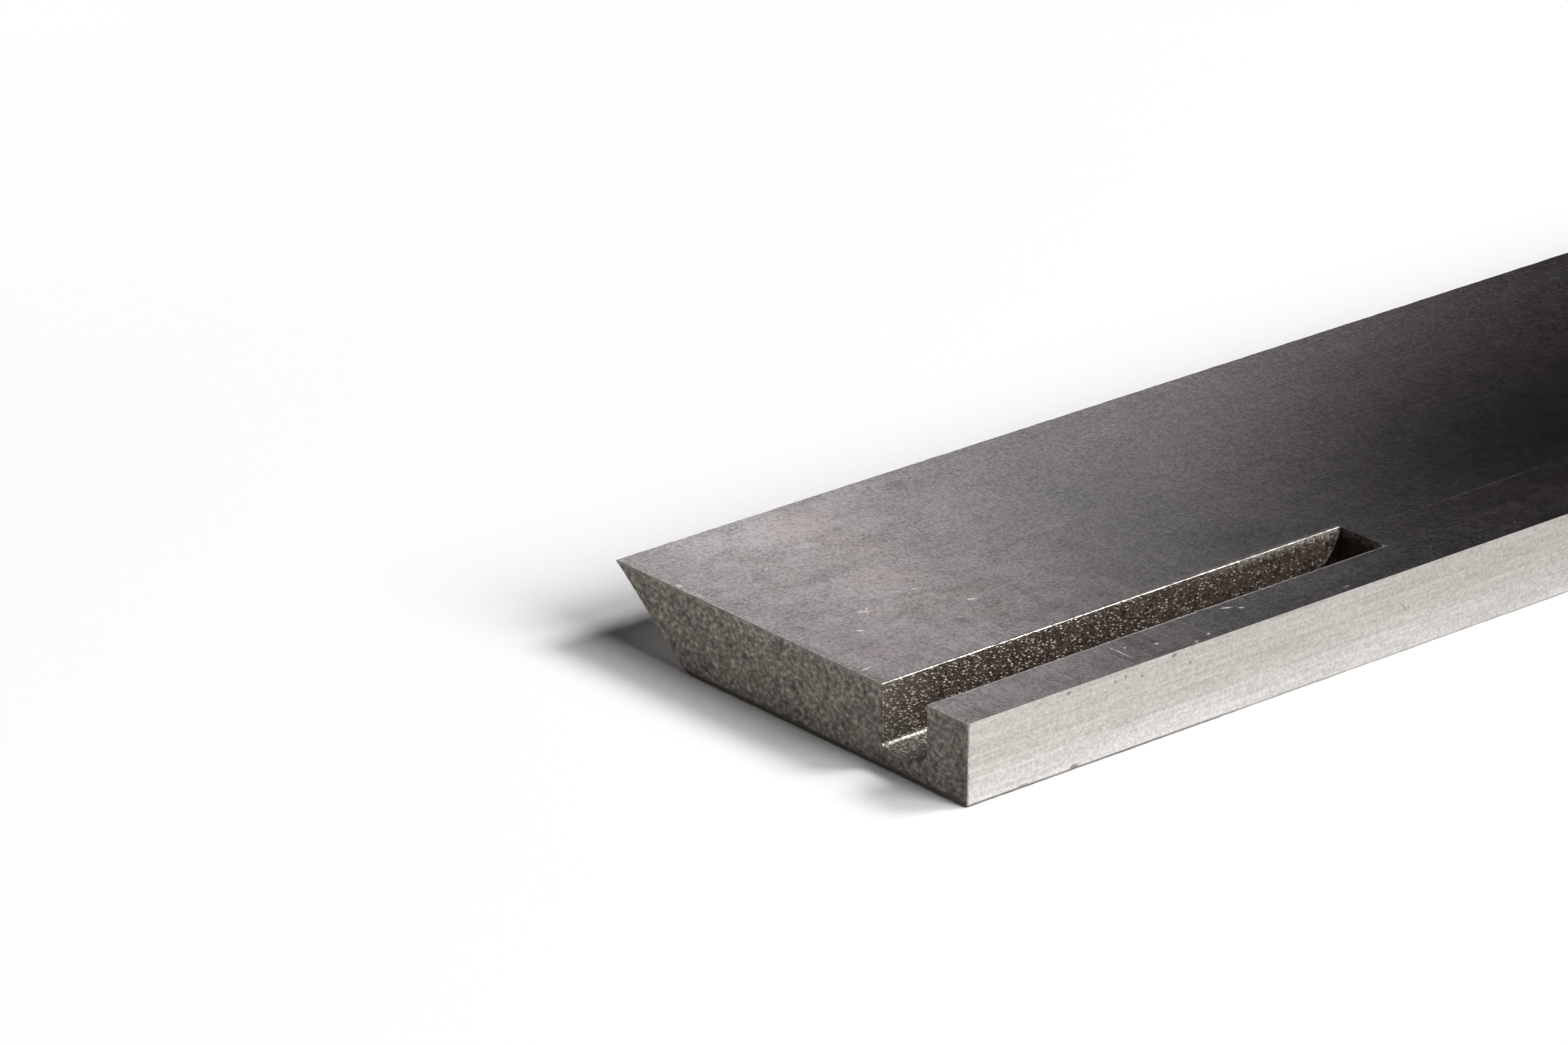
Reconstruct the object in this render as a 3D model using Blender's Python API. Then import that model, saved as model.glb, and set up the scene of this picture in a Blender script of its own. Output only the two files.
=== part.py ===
# Planer knife: a ground tool-steel bar with one bevelled cutting edge, and a short
# setting slot milled into its face at each end, close to the back edge.
#
# Frame, in metres: X runs along the knife, +Y towards the cutting edge and +Z up
# through the slotted face. The origin is the middle of the knife's footprint.

import math

import bmesh
import bpy
from mathutils import Vector

# Driving dimensions of the bar
KNIFE_LENGTH = 0.2032
KNIFE_WIDTH = 0.01905
KNIFE_THICKNESS = 0.003175
BEVEL_ANGLE_DEG = 39.0        # between the slotted face and the ground bevel
HEEL_RADIUS = 0.0005          # where the bevel runs into the underside
EDGE_BREAK = 0.0001           # stoned on every edge except the cutting edge

# Driving dimensions of the setting slots
SLOT_LENGTH = 0.0221          # from the end of the knife to the end of the slot's mouth
SLOT_WIDTH = 0.00218
SLOT_DEPTH = 0.00236
RAIL_THICKNESS = 0.00226      # steel left between the slot and the back edge
SLOT_CORNER_RADIUS = 0.0004   # floor to rail, from the worn corner of the cutter
CUTTER_AXIS_HEIGHT = 0.0013   # the disc cutter's axis above the slotted face

# Fineness of the rounded surfaces, and how far a cut runs out past the steel
HEEL_STEPS = 3
BREAK_STEPS = 2
CORNER_STEPS = 6
RUN_OUT_STEPS = 24
CUT_OVERRUN = 0.001

# Look of the ground steel
STEEL_COLOUR = (0.42, 0.40, 0.39, 1.0)
STEEL_ROUGHNESS = 0.38


def clear_scene():
    for old in list(bpy.data.objects):
        bpy.data.objects.remove(old, do_unlink=True)


def make_steel():
    steel = bpy.data.materials.new("knife_steel")
    steel.use_nodes = True
    shader = steel.node_tree.nodes["Principled BSDF"]
    shader.inputs["Base Color"].default_value = STEEL_COLOUR
    shader.inputs["Roughness"].default_value = STEEL_ROUGHNESS
    shader.inputs["Metallic"].default_value = 1.0
    return steel


def object_from_bmesh(name, bm):
    bmesh.ops.recalc_face_normals(bm, faces=bm.faces[:])
    mesh = bpy.data.meshes.new(name)
    bm.to_mesh(mesh)
    bm.free()
    obj = bpy.data.objects.new(name, mesh)
    bpy.context.scene.collection.objects.link(obj)
    return obj


def filled_section(bm, x, outline):
    """One face across the knife at x, from its outline's (y, z) points."""
    corners = [bm.verts.new((x, y, z)) for y, z in outline]
    return bm.faces.new(corners)


def extrude_along_x(bm, face, distance):
    """Sweep a section along the knife, and return the section it ends on."""
    swept = bmesh.ops.extrude_face_region(bm, geom=[face])["geom"]
    moved = [item for item in swept if isinstance(item, bmesh.types.BMVert)]
    bmesh.ops.translate(bm, verts=moved, vec=Vector((distance, 0.0, 0.0)))
    return next(item for item in swept if isinstance(item, bmesh.types.BMFace))


def edges_along_x(bm, y, z):
    """The long edges that run through the point (y, z) of the section."""
    reach = EDGE_BREAK / 10
    return [
        edge
        for edge in bm.edges
        if all(math.hypot(v.co.y - y, v.co.z - z) < reach for v in edge.verts)
    ]


def make_bar():
    """The ground bar: a trapezium section with the cutting edge at its upper front corner."""
    back = -KNIFE_WIDTH / 2
    cutting_edge = KNIFE_WIDTH / 2
    heel = cutting_edge - KNIFE_THICKNESS / math.tan(math.radians(BEVEL_ANGLE_DEG))
    outline = [
        (back, 0.0),
        (heel, 0.0),
        (cutting_edge, KNIFE_THICKNESS),
        (back, KNIFE_THICKNESS),
    ]
    bm = bmesh.new()
    start = filled_section(bm, -KNIFE_LENGTH / 2, outline)
    extrude_along_x(bm, start, KNIFE_LENGTH)
    bmesh.ops.recalc_face_normals(bm, faces=bm.faces[:])

    # The heel turns through the bevel angle, so its tangents meet this far along
    heel_tangent = HEEL_RADIUS * math.tan(math.radians(BEVEL_ANGLE_DEG) / 2)
    bmesh.ops.bevel(
        bm,
        geom=edges_along_x(bm, heel, 0.0),
        offset=heel_tangent,
        offset_type="OFFSET",
        segments=HEEL_STEPS,
        profile=0.5,
        affect="EDGES",
    )

    # Every other corner is broken, and the cutting edge is left keen
    keen = edges_along_x(bm, cutting_edge, KNIFE_THICKNESS)
    corner_angle = math.radians(60.0)
    broken = [
        edge
        for edge in bm.edges
        if edge.calc_face_angle() > corner_angle and edge not in keen
    ]
    bmesh.ops.bevel(
        bm,
        geom=broken,
        offset=EDGE_BREAK,
        offset_type="OFFSET",
        segments=BREAK_STEPS,
        profile=0.5,
        affect="EDGES",
    )
    return object_from_bmesh("planer_knife", bm)


def slot_section(inner_reach, outer_reach):
    """Outline of the disc cutter's rim, as (y, z), with its axis above the slotted face.

    The rim's corner beside the rail is worn round, and its other corner is square.
    """
    axis_z = KNIFE_THICKNESS + CUTTER_AXIS_HEIGHT
    rail_side = -KNIFE_WIDTH / 2 + RAIL_THICKNESS
    far_side = rail_side + SLOT_WIDTH
    floor = axis_z - outer_reach
    radius = min(SLOT_CORNER_RADIUS, SLOT_WIDTH / 2, SLOT_DEPTH / 2)
    outline = [(far_side, floor), (far_side, axis_z - inner_reach), (rail_side, axis_z - inner_reach)]
    for step in range(CORNER_STEPS + 1):
        turn = math.pi / 2 * step / CORNER_STEPS
        outline.append(
            (
                rail_side + radius * (1 - math.cos(turn)),
                floor + radius * (1 - math.sin(turn)),
            )
        )
    return outline


def make_slot_cutter():
    """What the disc cutter sweeps: straight in from the end, then out along its own radius."""
    cutter_radius = SLOT_DEPTH + CUTTER_AXIS_HEIGHT
    half_mouth_chord = math.sqrt(cutter_radius**2 - CUTTER_AXIS_HEIGHT**2)
    axis_x = -KNIFE_LENGTH / 2 + SLOT_LENGTH - half_mouth_chord
    axis_z = KNIFE_THICKNESS + CUTTER_AXIS_HEIGHT
    start_x = -KNIFE_LENGTH / 2 - CUT_OVERRUN

    bm = bmesh.new()
    outline = slot_section(CUTTER_AXIS_HEIGHT / 2, cutter_radius)
    start = filled_section(bm, start_x, outline)
    rim = extrude_along_x(bm, start, axis_x - start_x)
    bmesh.ops.spin(
        bm,
        geom=[rim, *rim.edges, *rim.verts],
        cent=Vector((axis_x, 0.0, axis_z)),
        axis=Vector((0.0, -1.0, 0.0)),
        angle=math.pi / 2,
        steps=RUN_OUT_STEPS,
        use_duplicate=False,
    )
    cutter = object_from_bmesh("slot_cutter", bm)
    cutter.hide_render = True
    cutter.display_type = "WIRE"

    # The same slot is milled at the other end of the knife
    other_end = cutter.modifiers.new("other_end", "MIRROR")
    other_end.use_axis = (True, False, False)
    other_end.merge_threshold = 0.00001
    return cutter


def main():
    clear_scene()
    knife = make_bar()
    knife.data.materials.append(make_steel())

    milling = knife.modifiers.new("setting_slots", "BOOLEAN")
    milling.operation = "DIFFERENCE"
    milling.solver = "EXACT"
    milling.object = make_slot_cutter()

    knife.data.shade_smooth()
    knife.data.set_sharp_from_angle(angle=math.radians(20.0))


main()
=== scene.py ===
# Planer knife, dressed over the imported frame. Lengths are in metres.
# X runs along the knife, +Y towards its cutting edge and +Z out of the slotted face.

import math

import bmesh
import bpy
import numpy as np
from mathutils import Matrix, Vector


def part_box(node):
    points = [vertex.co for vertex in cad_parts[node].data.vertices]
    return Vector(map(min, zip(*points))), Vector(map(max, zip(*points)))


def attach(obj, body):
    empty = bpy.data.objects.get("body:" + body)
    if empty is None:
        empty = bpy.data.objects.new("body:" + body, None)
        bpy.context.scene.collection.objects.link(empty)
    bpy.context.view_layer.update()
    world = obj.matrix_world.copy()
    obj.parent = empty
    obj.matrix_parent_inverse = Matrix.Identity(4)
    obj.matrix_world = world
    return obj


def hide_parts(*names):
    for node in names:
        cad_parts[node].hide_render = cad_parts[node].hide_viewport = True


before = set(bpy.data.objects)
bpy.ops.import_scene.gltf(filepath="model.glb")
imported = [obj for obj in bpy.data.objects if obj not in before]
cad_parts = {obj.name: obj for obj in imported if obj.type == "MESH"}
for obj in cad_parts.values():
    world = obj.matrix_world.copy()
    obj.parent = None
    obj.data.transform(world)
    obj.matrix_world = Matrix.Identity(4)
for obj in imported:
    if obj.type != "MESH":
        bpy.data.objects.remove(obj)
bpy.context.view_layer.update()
knifeLow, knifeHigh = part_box("planer_knife")

# What a user would change on the knife
knife = {
    "bevelAngle": math.radians(39.0),  # between the slotted face and the ground bevel
    "heelRadius": 0.0009,
    "edgeLand": 0.00004,  # the flat that whetting leaves on the cutting edge
    "footBreak": 0.00007,  # rounding of the back's lower edge. Its upper edge is sharp
    "endBreak": 0.00006,  # rounding round both ends
    "endFoot": 0.4,  # how much more of it there is along the underside
    "tipReach": 0.0008,  # how far from the cutting edge the ends' rounding fades out
    "railThickness": 0.00215,
    "slotWidth": 0.00235,
    "slotDepth": 0.00236,
    "slotLength": 0.0221,
    "cutterAxisHeight": 0.0013,  # the disc cutter's axis above the slotted face
    "wornWide": 0.0009,  # the cutter's worn corner, along the slot's floor
    "wornHigh": 0.00042,  # the same, up the rail
    "wornHighAtMouth": 0.00012,
    "lipWide": 0.000075,  # rolled lip along the slot's far side, on the face
    "lipDeep": 0.000035,  # the same, down the wall
    "railLip": 0.000018,  # chamfer on the slot's other side
    "rootRadius": 0.00012,  # where the far wall meets the slot's floor
    "edgeChips": 0.000012,  # how far the cutting edge itself wanders in
    "edgeWave": 0.000010,  # how far the broken edges wander
    "lipSwell": 0.24,  # how much the rolled lip swells and thins, as a part of it
    "railLipSwell": 0.25,
    "chipSwell": 0.6,
    "footHeight": 0.00025,  # how far up the ends' wider rounding reaches
}

# Wander of each edge: seed, longest and shortest wave
waves = {
    "foot": (11, 0.006, 0.0006),
    "lip": (13, 0.003, 0.00035),
    "railLip": (14, 0.005, 0.0005),
    "keen": (15, 0.003, 0.0004),
}

# Density of the mesh. A count is the number of places along that stretch of the section
meshing = {
    "shownLength": 0.052,  # the end that gets the finest mesh
    "fineStep": 0.00011,  # in the slot that shows
    "coarseStep": 0.0004,  # past it and in the other slot
    "arcCount": 30,
    "beforeArc": 0.00005,
    "pastStop": (0.00004, 0.00016),
    "betweenCount": 70,
    "underCount": 14,
    "heelCount": 9,
    "bevelCount": 14,
    "faceCount": 46,
    "roundCount": 5,
    "wallCount": 13,
    "floorCount": 24,
    "railWallCount": 9,
    "railCount": 15,
    "capRows": 3,  # how many rings of an end's rounding have the end's own material
    "weldGap": 0.0000002,
    "sharpAngle": math.radians(38.0),
}

halfLength = (knifeHigh.x - knifeLow.x) / 2
backY, edgeY = knifeLow.y, knifeHigh.y
thickness = knifeHigh.z - knifeLow.z
cutterRadius = knife["slotDepth"] + knife["cutterAxisHeight"]
cutterAxisZ = thickness + knife["cutterAxisHeight"]
mouthChord = math.sqrt(cutterRadius**2 - knife["cutterAxisHeight"] ** 2)
straightLength = knife["slotLength"] - mouthChord
railY = backY + knife["railThickness"]
farY = railY + knife["slotWidth"]


# count places from start to end, at t - crowd * sin(2 pi t) / (2 pi): closer together near both
# ends, or in the middle where crowd is below 0
def spread(start, end, count, crowd=0.75):
    t = np.linspace(0.0, 1.0, count)
    return start + (end - start) * (t - crowd * np.sin(2 * np.pi * t) / (2 * np.pi))


# Sum of sines whose lengths run from longest to shortest, each started at a random phase
def ripple(along, seed, longest, shortest, count=9):
    chance = np.random.default_rng(seed)
    lengths = np.geomspace(longest, shortest, count)
    starts = chance.uniform(0, 2 * np.pi, count)
    turns = 2 * np.pi * along[:, None, None] / lengths + starts
    return np.sin(turns).sum(-1) / math.sqrt(count / 2)


# Places along the knife: close in the shown end, on the cutter's arc in each slot, wide between
def stationsAlong():
    fine, coarse = meshing["fineStep"], meshing["coarseStep"]
    arcTurn = math.acos(knife["cutterAxisHeight"] / cutterRadius)
    arc = straightLength + cutterRadius * np.sin(np.linspace(0, arcTurn, meshing["arcCount"]))
    past = arc[-1] + np.array(meshing["pastStop"])
    start, stop = knife["endBreak"], straightLength - meshing["beforeArc"]
    beyond = np.arange(past[-1] + 0.75 * coarse, meshing["shownLength"], coarse)
    near = np.concatenate([np.arange(start, stop, fine), arc, past, beyond])
    far = np.concatenate([np.arange(start, stop, coarse), arc, past])
    between = np.linspace(near[-1], 2 * halfLength - far[-1], meshing["betweenCount"])[1:-1]
    return np.concatenate([near, between, 2 * halfLength - far[::-1]]) - halfLength


# Height of the slot's floor: the rim of a disc cutter that stops at straightLength. The rim
# turns about the cutter's axis, so past that place the floor climbs as
# axis - sqrt(reach^2 - past^2), where reach shrinks in the worn corner by an ellipse.
def slotFloor(fromEnd, y):
    past = np.clip(fromEnd - straightLength, 0, None)
    climb = np.clip(past / mouthChord, 0, 1)
    worn = knife["wornHigh"] + (knife["wornHighAtMouth"] - knife["wornHigh"]) * climb
    into = np.clip(1 - (y - railY) / knife["wornWide"], 0, 1)
    reach = cutterRadius - worn * (1 - np.sqrt(1 - into**2))
    rest = reach**2 - past**2
    floor = cutterAxisZ - np.sqrt(np.clip(rest, 0, None))
    return np.minimum(np.where(rest > 0, floor, thickness), thickness)


# count places from 0 to 1 as a row, without the first, which the stretch before it has made
def row(label, crowd=0.75):
    return spread(0, 1, meshing[label], crowd)[None, 1:]


# The same along a turn of that angle, evenly
def turnRow(label, angle):
    return np.linspace(0, angle, meshing[label])[None, 1:]


# The section at each x, walked from the back's foot along the underside, up the bevel, back
# over the slotted face, through the slot and down the back. It gives y and z (stations by
# points) and the stretch of the outline that each point is on.
def knifeOutline(x):
    fromEnd = (halfLength - np.abs(x))[:, None]
    bevel = knife["bevelAngle"]
    heelY = edgeY - thickness / math.tan(bevel)
    heelSetback = knife["heelRadius"] * math.tan(bevel / 2)
    land = knife["edgeLand"]
    footBreak = knife["footBreak"] + knife["edgeWave"] * ripple(x, *waves["foot"])
    lipSwell = np.clip(1 + knife["lipSwell"] * ripple(x, *waves["lip"]), 0.25, None)
    railLip = knife["railLip"] * (1 + knife["railLipSwell"] * ripple(x, *waves["railLip"]))
    keen = knife["edgeChips"] * np.clip(1 + knife["chipSwell"] * ripple(x, *waves["keen"]), 0, None)

    parts = []

    def add(stretch, y, z):
        y, z = np.broadcast_arrays(np.asarray(y, float) + 0 * fromEnd, z + 0 * fromEnd)
        parts.append((stretch, y, z))

    # Underside, heel and bevel
    t = row("underCount")
    add("under", backY + footBreak + (heelY - heelSetback - backY - footBreak) * t, 0.0)
    turn = turnRow("heelCount", bevel)
    y = heelY - heelSetback + knife["heelRadius"] * np.sin(turn)
    add("bevel", y, knife["heelRadius"] * (1 - np.cos(turn)))
    startY = heelY + heelSetback * math.cos(bevel)
    startZ = heelSetback * math.sin(bevel)
    t = row("bevelCount")
    endZ = thickness - land
    endY = edgeY - keen - 0.3 * land
    add("bevel", startY + (endY - startY) * t, startZ + (endZ - startZ) * t)

    # Slotted face from the cutting edge to the slot's far wall, then the rolled lip
    floorFar = slotFloor(fromEnd, farY)
    deep = thickness - floorFar
    lipWide = knife["lipWide"] * lipSwell
    lipDeep = np.minimum(knife["lipDeep"] * lipSwell, deep)
    t = spread(0, 1, meshing["faceCount"], 0.9)[None, :]
    y = edgeY - keen - land + (farY + lipWide - edgeY + keen + land) * t
    add("face", y, thickness)
    quarter = turnRow("roundCount", math.pi / 2)
    add("lip", farY + lipWide * (1 - np.sin(quarter)), thickness - lipDeep * (1 - np.cos(quarter)))

    # Far wall, its root, the floor and the rail's wall
    rootUp = np.minimum(knife["rootRadius"], deep - lipDeep)
    t = row("wallCount", 0.6)
    add("wall", farY, thickness - lipDeep - (deep - lipDeep - rootUp) * t)
    root = knife["rootRadius"]
    y = farY - root * (1 - np.cos(quarter))
    z = slotFloor(fromEnd, y) + rootUp * (1 - np.sin(quarter))
    add("wall", y, np.minimum(z, thickness))
    t = row("floorCount", -0.5)
    y = farY - root + (railY - farY + root) * t
    add("wall", y, slotFloor(fromEnd, y))
    floorRail = slotFloor(fromEnd, railY)
    lipRise = np.minimum(railLip, thickness - floorRail)
    t = row("railWallCount", 0.5)
    add("wall", railY, floorRail + (thickness - lipRise - floorRail) * t)

    # Rail, and the back down to its rounded foot
    t = spread(0, 1, meshing["railCount"], 0.8)[None, :]
    add("rail", railY - railLip + (backY - railY + railLip) * t, thickness)
    add("back", backY, thickness - (thickness - footBreak) * t[:, 1:])
    add("back", backY + footBreak * (1 - np.cos(quarter)), footBreak * (1 - np.sin(quarter)))

    stretches = [name for name, y, z in parts for _ in range(y.shape[1])]
    ys = np.concatenate([y for _, y, _ in parts], 1)
    zs = np.concatenate([z for _, _, z in parts], 1)
    return ys, zs, stretches


print("knife: stations and outline")
stations = stationsAlong()
outlineY, outlineZ, stretchNames = knifeOutline(stations)
columns = outlineY.shape[1]


# The closed outline moved inwards along its normals, by more along the underside and by
# nothing at the keen edge. Small roundings would turn inside out, so every side is also held
# back to its own inset line.
def shrunk(y, z, amount):
    alongY = np.roll(y, -1) - np.roll(y, 1)
    alongZ = np.roll(z, -1) - np.roll(z, 1)
    size = np.hypot(alongY, alongZ)
    foot = amount * (1 + knife["endFoot"])
    fade = np.clip(np.hypot(y - edgeY, z - thickness) / knife["tipReach"] - 0.1, 0, 1)
    inset = (amount + (foot - amount) * np.exp(-((z / knife["footHeight"]) ** 2))) * fade
    inY, inZ = y - inset * alongZ / size, z + inset * alongY / size

    name = np.array(stretchNames)
    onFar = (name == "face") | (name == "lip") | ((name == "wall") & (y > farY - 1e-8))
    onRail = (name == "rail") | ((name == "wall") & (y < railY + 1e-8))
    inY = np.where(onFar, np.maximum(inY, farY + amount), inY)
    inY = np.where(onRail, np.minimum(inY, railY - amount), inY)
    inY = np.clip(inY, backY + amount, edgeY)
    return inY, np.clip(inZ, foot, thickness - amount * fade)


# Rings that round the end: the outline shrinks by 1 - cos as it goes out by sin
def endRings(x, y, z, way):
    rings = []
    for turn in np.linspace(0, math.pi / 2, meshing["roundCount"])[1:]:
        inY, inZ = shrunk(y, z, knife["endBreak"] * (1 - math.cos(turn)))
        rings.append((x + way * knife["endBreak"] * math.sin(turn), inY, inZ))
    inY, inZ = shrunk(y, z, knife["endBreak"] * 1.2)
    rings.append((rings[-1][0], inY, inZ))
    return rings


# How far each point is from the knife's end, from the slot's mouth, from the root of its far
# wall and from the bar's outer corners. Round the stop the root is the cutter's own circle,
# so a point's distance from it is the difference of two radii.
def gapsOf(x, y, z):
    fromEnd = halfLength - np.abs(x)[:, None]
    past = np.clip(fromEnd - straightLength, 0, None)
    fromRim = np.abs(cutterRadius - np.hypot(past, cutterAxisZ - z))
    beyond = np.clip(fromEnd - knife["slotLength"], 0, None)
    farLip = np.hypot(np.hypot(y - farY, z - thickness), beyond)
    railLip = np.hypot(np.hypot(y - railY, z - thickness), beyond)
    acrossMouth = np.clip(np.abs(y - (railY + farY) / 2) - knife["slotWidth"] / 2, 0, None)
    stopLip = np.hypot(np.hypot(fromEnd - knife["slotLength"], z - thickness), acrossMouth)
    corners = [
        np.hypot(y - cornerY, z - cornerZ)
        for cornerY, cornerZ in ((edgeY, thickness), (backY, thickness), (backY, 0.0))
    ]
    return {
        "endGap": fromEnd + 0 * y,
        "lipGap": np.minimum(farLip, np.minimum(railLip, stopLip)),
        "rootGap": np.hypot(y - farY, fromRim),
        "rimGap": np.min(corners, 0),
    }


# The outline carried along the stations, with rounded ends and a flat cap in each
def makeKnife():
    startRings = endRings(stations[0], outlineY[0], outlineZ[0], -1)[::-1]
    stopRings = endRings(stations[-1], outlineY[-1], outlineZ[-1], 1)
    x, y, z = (
        np.concatenate([[ring[axis] for ring in startRings], middle, [ring[axis] for ring in stopRings]])
        for axis, middle in enumerate((stations, outlineY, outlineZ))
    )
    rows = len(x)
    points = np.stack([np.broadcast_to(x[:, None], y.shape), y, z], -1).reshape(-1, 3)

    i, j = np.meshgrid(np.arange(rows - 1), np.arange(columns), indexing="ij")
    k = (j + 1) % columns
    quads = np.stack([i * columns + j, i * columns + k, (i + 1) * columns + k, (i + 1) * columns + j], -1)
    faces = quads.reshape(-1, 4).tolist()
    faces.append(np.arange(columns)[::-1].tolist())
    faces.append(((rows - 1) * columns + np.arange(columns)).tolist())

    # Each face takes the material of its stretch, past the slot the face's, at the ends the end's
    names = ["face", "rail", "wall", "back", "under", "bevel", "end", "lip"]
    column = np.array([names.index(n) for n in stretchNames])
    zone = np.broadcast_to(np.roll(column, -1)[None, :], (rows - 1, columns)).copy()
    pastSlot = np.abs((x[:-1] + x[1:]) / 2) < halfLength - knife["slotLength"]
    ofSlot = (zone == names.index("wall")) | (zone == names.index("lip"))
    zone[pastSlot[:, None] & ofSlot] = names.index("face")
    zone[: meshing["capRows"]] = names.index("end")
    zone[-meshing["capRows"] :] = names.index("end")
    zones = np.append(zone.reshape(-1), [names.index("end")] * 2)

    mesh = bpy.data.meshes.new("ground_knife")
    mesh.from_pydata(points.tolist(), [], faces)
    mesh.polygons.foreach_set("material_index", zones.astype(np.int32))
    mesh.polygons.foreach_set("use_smooth", np.ones(len(faces), bool))
    for label, values in gapsOf(x, y, z).items():
        layer = mesh.attributes.new(label, "FLOAT", "POINT")
        layer.data.foreach_set("value", values.reshape(-1).astype(np.float32))

    work = bmesh.new()
    work.from_mesh(mesh)
    bmesh.ops.remove_doubles(work, verts=work.verts[:], dist=meshing["weldGap"])
    bmesh.ops.recalc_face_normals(work, faces=work.faces[:])
    openEdges = [e for e in work.edges if not e.is_manifold]
    print("knife: open edges", len(openEdges), "volume", work.calc_volume(signed=True))
    work.to_mesh(mesh)
    work.free()
    mesh.set_sharp_from_angle(angle=meshing["sharpAngle"])
    piece = bpy.data.objects.new("ground_knife", mesh)
    bpy.context.scene.collection.objects.link(piece)
    return piece


groundKnife = makeKnife()
print("knife: triangles", sum(len(p.vertices) - 2 for p in groundKnife.data.polygons))


# Links a socket to the input, or sets the input to a plain number or colour
def feed(value, socket):
    if isinstance(value, bpy.types.NodeSocket):
        socket.id_data.links.new(value, socket)
    elif socket.type == "RGBA":
        socket.default_value = (*value, 1.0)
    else:
        socket.default_value = value


# A node of that kind. Keys that name an input feed it, in0 and so on by its number
def put(tree, kind, **values):
    node = tree.nodes.new(kind)
    for key, value in values.items():
        if key in node.inputs:
            feed(value, node.inputs[key])
        elif key[:2] == "in" and key[2:].isdigit():
            feed(value, node.inputs[int(key[2:])])
        else:
            setattr(node, key, value)
    return node


# A node in the tree of the sockets it is fed with. Plain values go to its first inputs in their
# order. It gives the node's outputs
def fed(kind, *values, **settings):
    given = (*values, *settings.values())
    tree = next(value.id_data for value in given if isinstance(value, bpy.types.NodeSocket))
    node = put(tree, kind, **settings)
    for value, socket in zip(values, node.inputs):
        feed(value, socket)
    return node.outputs


def maths(operation, *values, clamp=False):
    return fed("ShaderNodeMath", *values, operation=operation, use_clamp=clamp)[0]


def vectorMaths(operation, *values):
    return fed("ShaderNodeVectorMath", *values, operation=operation)


# value * factor + rest
def timesPlus(value, factor, rest, clamp=False):
    return maths("MULTIPLY_ADD", value, factor, rest, clamp=clamp)


def most(first, second):
    return maths("MAXIMUM", first, second)


def product(*values):
    total = values[0]
    for value in values[1:]:
        total = maths("MULTIPLY", total, value)
    return total


# The value's way from fromLow to fromHigh carried over to toLow to toHigh, and held there outside
def remap(value, fromLow, fromHigh, toLow=0.0, toHigh=1.0, smooth=False):
    ends = fromLow, fromHigh, toLow, toHigh
    kind = "SMOOTHSTEP" if smooth else "LINEAR"
    return fed("ShaderNodeMapRange", value, *ends, interpolation_type=kind)["Result"]


def blendColour(amount, first, second):
    return fed("ShaderNodeMix", amount, data_type="RGBA", in6=first, in7=second)[2]


def scaled(colour, level):
    return fed("ShaderNodeVectorMath", colour, operation="SCALE", Scale=level)[0]


# colour * (1 + sum of amount * (value - 1/2)): light and dark from several values of 0 to 1
def toned(colour, terms):
    total = 1.0
    for value, amount in terms:
        total = timesPlus(maths("SUBTRACT", value, 0.5), amount, total)
    return scaled(colour, total)


# A level from 0 to 2 read along a distance, from stops of (metres, level)
def levelAlong(distance, stops):
    reach = stops[-1][0]
    share = maths("DIVIDE", distance, reach, clamp=True)
    node = put(share.id_data, "ShaderNodeValToRGB", Fac=share)
    band = node.color_ramp
    for index in (0, -1):
        at, level = stops[index]
        band.elements[index].position = at / reach
        band.elements[index].color = (level / 2, level / 2, level / 2, 1)
    for at, level in stops[1:-1]:
        band.elements.new(at / reach).color = (level / 2, level / 2, level / 2, 1)
    return product(node.outputs["Color"], 2.0)


def splitAxes(vector):
    return fed("ShaderNodeSeparateXYZ", vector)


# A group that puts out one value, with its inputs' own values
def newGroup(name, output, **inputs):
    group = bpy.data.node_groups.new(name, "ShaderNodeTree")
    for label, value in inputs.items():
        kind = "NodeSocketVector" if isinstance(value, tuple) else "NodeSocketFloat"
        group.interface.new_socket(label, in_out="INPUT", socket_type=kind).default_value = value
    group.interface.new_socket(output, in_out="OUTPUT", socket_type="NodeSocketFloat")
    return group, put(group, "NodeGroupInput").outputs


def useGroup(group, **values):
    return fed("ShaderNodeGroup", node_tree=group, **values)[0]


# Vector * Stretch + Shift, from a group's own inputs
def stretchedPlace(given):
    return vectorMaths("MULTIPLY_ADD", given["Vector"], given["Stretch"], given["Shift"])[0]


# Stretched noise, spread to fill 0 to 1. Stretch is in cycles per metre along each axis
def makeGrain():
    inputs = {"Stretch": (1000, 1000, 1000), "Detail": 2.0, "Shift": 0.0, "Wander": 0.0}
    group, given = newGroup("steel_grain", "Grain", Vector=(0, 0, 0), **inputs)
    parts = {"Vector": stretchedPlace(given), "Scale": 1.0, "Roughness": 0.6}
    parts.update(Detail=given["Detail"], Distortion=given["Wander"])
    noise = fed("ShaderNodeTexNoise", **parts)["Fac"]
    put(group, "NodeGroupOutput", Grain=remap(noise, 0.28, 0.72))
    return group


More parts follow.
